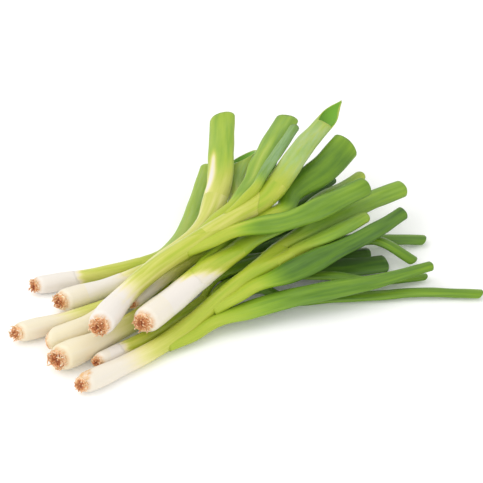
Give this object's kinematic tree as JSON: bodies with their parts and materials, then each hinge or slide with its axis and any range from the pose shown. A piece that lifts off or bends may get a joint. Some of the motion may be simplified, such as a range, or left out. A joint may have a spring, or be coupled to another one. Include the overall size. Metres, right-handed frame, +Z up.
{
  "type": "spring onion bunch",
  "caption": "Loose untied bunch of trimmed spring onions lying in a pile, with white bulbs, root tufts, pale necks and hollow green leaves cut open at the tips.",
  "frame": {"origin": "middle of the bunch's footprint, on the surface that it lies on", "axes": "+X from the roots towards the leaf tips, the bunch's longest way; +Z up, the way it lies"},
  "size_m": [0.3038, 0.237, 0.0643],
  "materials": {
    "stem": "smooth, slightly glossy skin, white at the bulb and yellow-green at the neck",
    "root_tuft": "rough, dry, light orange-brown",
    "leaf_green": "smooth with a faint waxy bloom",
    "leaf_grey_green": "waxy bloom, bluish grey",
    "leaf_pale_green": "smooth, slightly glossy"
  },
  "bodies": {
    "root": {"onion_01_leaf_1": "leaf_green", "onion_01_roots": "root_tuft", "onion_01_stem": "stem", "onion_02_leaf_1": "leaf_green", "onion_02_leaf_2": "leaf_grey_green", "onion_02_roots": "root_tuft", "onion_02_stem": "stem", "onion_03_leaf_1": "leaf_grey_green", "onion_03_roots": "root_tuft", "onion_03_stem": "stem", "onion_04_leaf_1": "leaf_green", "onion_04_leaf_2": "leaf_green", "onion_04_roots": "root_tuft", "onion_04_stem": "stem", "onion_05_leaf_1": "leaf_green", "onion_05_leaf_2": "leaf_green", "onion_05_roots": "root_tuft", "onion_05_stem": "stem", "onion_06_leaf_1": "leaf_green", "onion_06_leaf_2": "leaf_green", "onion_06_leaf_3": "leaf_grey_green", "onion_06_leaf_4": "leaf_pale_green", "onion_06_leaf_5": "leaf_green", "onion_06_roots": "root_tuft", "onion_06_stem": "stem", "onion_07_leaf_1": "leaf_grey_green", "onion_07_roots": "root_tuft", "onion_07_stem": "stem", "onion_08_leaf_1": "leaf_green", "onion_08_leaf_2": "leaf_pale_green", "onion_08_roots": "root_tuft", "onion_08_stem": "stem", "onion_09_leaf_1": "leaf_pale_green", "onion_09_leaf_2": "leaf_grey_green", "onion_09_roots": "root_tuft", "onion_09_stem": "stem", "onion_10_leaf_1": "leaf_green", "onion_10_leaf_2": "leaf_green", "onion_10_leaf_3": "leaf_grey_green", "onion_10_leaf_4": "leaf_green", "onion_10_leaf_5": "leaf_pale_green", "onion_10_roots": "root_tuft", "onion_10_stem": "stem"}
  },
  "joints": []
}
